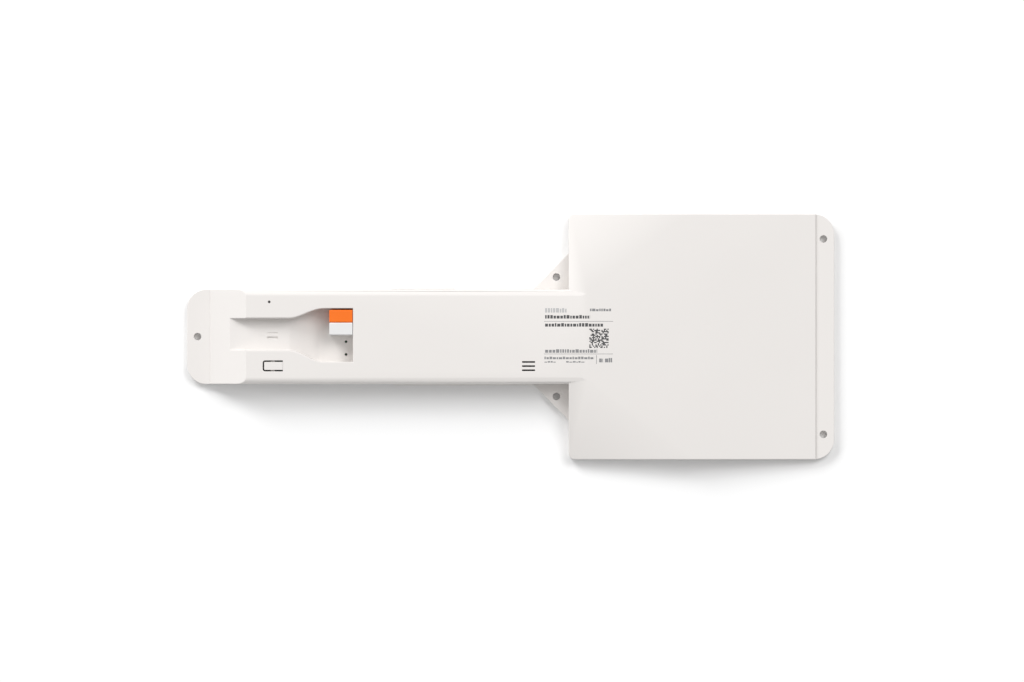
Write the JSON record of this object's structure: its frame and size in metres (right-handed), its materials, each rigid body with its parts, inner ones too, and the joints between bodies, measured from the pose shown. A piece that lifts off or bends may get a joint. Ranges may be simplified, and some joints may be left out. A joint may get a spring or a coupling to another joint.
{
  "type": "battery touch sensor unit",
  "caption": "Flat white battery touch sensor unit for mounting behind a panel: long battery arm, cable trough with push-wire terminal, and a square sloping head.",
  "frame": {"origin": "bottom centre of the bounding box, on the mounting face", "axes": "+X from the arm's flange to the head, +Z out of the mounting face to the labelled side"},
  "size_m": [0.29, 0.11, 0.016],
  "materials": {
    "shell": "fine matte moulded texture, warm white",
    "orange_pole": "satin moulded orange",
    "white_pole": "satin moulded light grey-white",
    "contact_brass": "plain",
    "circuit_board": "green solder mask",
    "screw_steel": "zinc plated",
    "black_plastic": "matte black",
    "led_white": "gloss",
    "clear_plastic": "clear moulded",
    "shield_steel": "tinned sheet",
    "capacitor_can": "sleeved can",
    "socket_plastic": "ivory moulded",
    "ribbon_film": "flat film",
    "foam": "closed-cell foam",
    "cradle_plastic": "matte moulded",
    "cell_jacket": "printed sleeve, no wording",
    "contact_steel": "nickel plated"
  },
  "bodies": {
    "base": {"base_tray": "shell", "main_board": "circuit_board", "board_screws": "screw_steel", "tact_switch_body": "black_plastic", "status_led": "led_white", "radio_module": "shield_steel", "antenna": "contact_brass", "controller_chip": "black_plastic", "bulk_capacitor": "capacitor_can", "sounder": "black_plastic", "electrode_board": "circuit_board", "ribbon_sockets": "socket_plastic", "board_ribbon": "ribbon_film", "foam_strips": "foam", "battery_cradle": "cradle_plastic", "battery_cell_1": "cell_jacket", "battery_cell_2": "cell_jacket", "battery_cell_3": "cell_jacket", "battery_cell_4": "cell_jacket", "spring_contacts": "contact_steel", "plate_contacts": "contact_steel", "contact_link": "contact_steel", "supply_pins": "contact_brass"},
    "cover": {"back_cover": "shell", "light_pipe": "clear_plastic"},
    "learn_key": {"learn_button": "shell"},
    "switch_plunger": {"tact_switch_plunger": "black_plastic"},
    "supply_connector": {"connector_orange": "orange_pole", "connector_white": "white_pole", "connector_contacts": "contact_brass"}
  },
  "joints": [
    {"name": "cover_lift", "type": "slide", "parent": "base", "child": "cover", "axis": [0, 0, 1], "range_m": [0, 0.025]},
    {"name": "learn_press", "type": "hinge", "parent": "cover", "child": "learn_key", "pos_m": [-0.102, -0.01305, 0.0152], "axis": [0, -1, 0], "range_deg": [0, 2.6], "stiffness_Nm_per_rad": 0.1},
    {"name": "plunger_travel", "type": "slide", "parent": "base", "child": "switch_plunger", "axis": [0, 0, 1], "range_m": [-0.0003, 0]},
    {"name": "connector_pull", "type": "slide", "parent": "cover", "child": "supply_connector", "axis": [0, 0, 1], "range_m": [0, 0.012]}
  ],
  "couplings": [
    {"joint": "learn_press", "follows": "plunger_travel", "rad_per_m": -151}
  ]
}
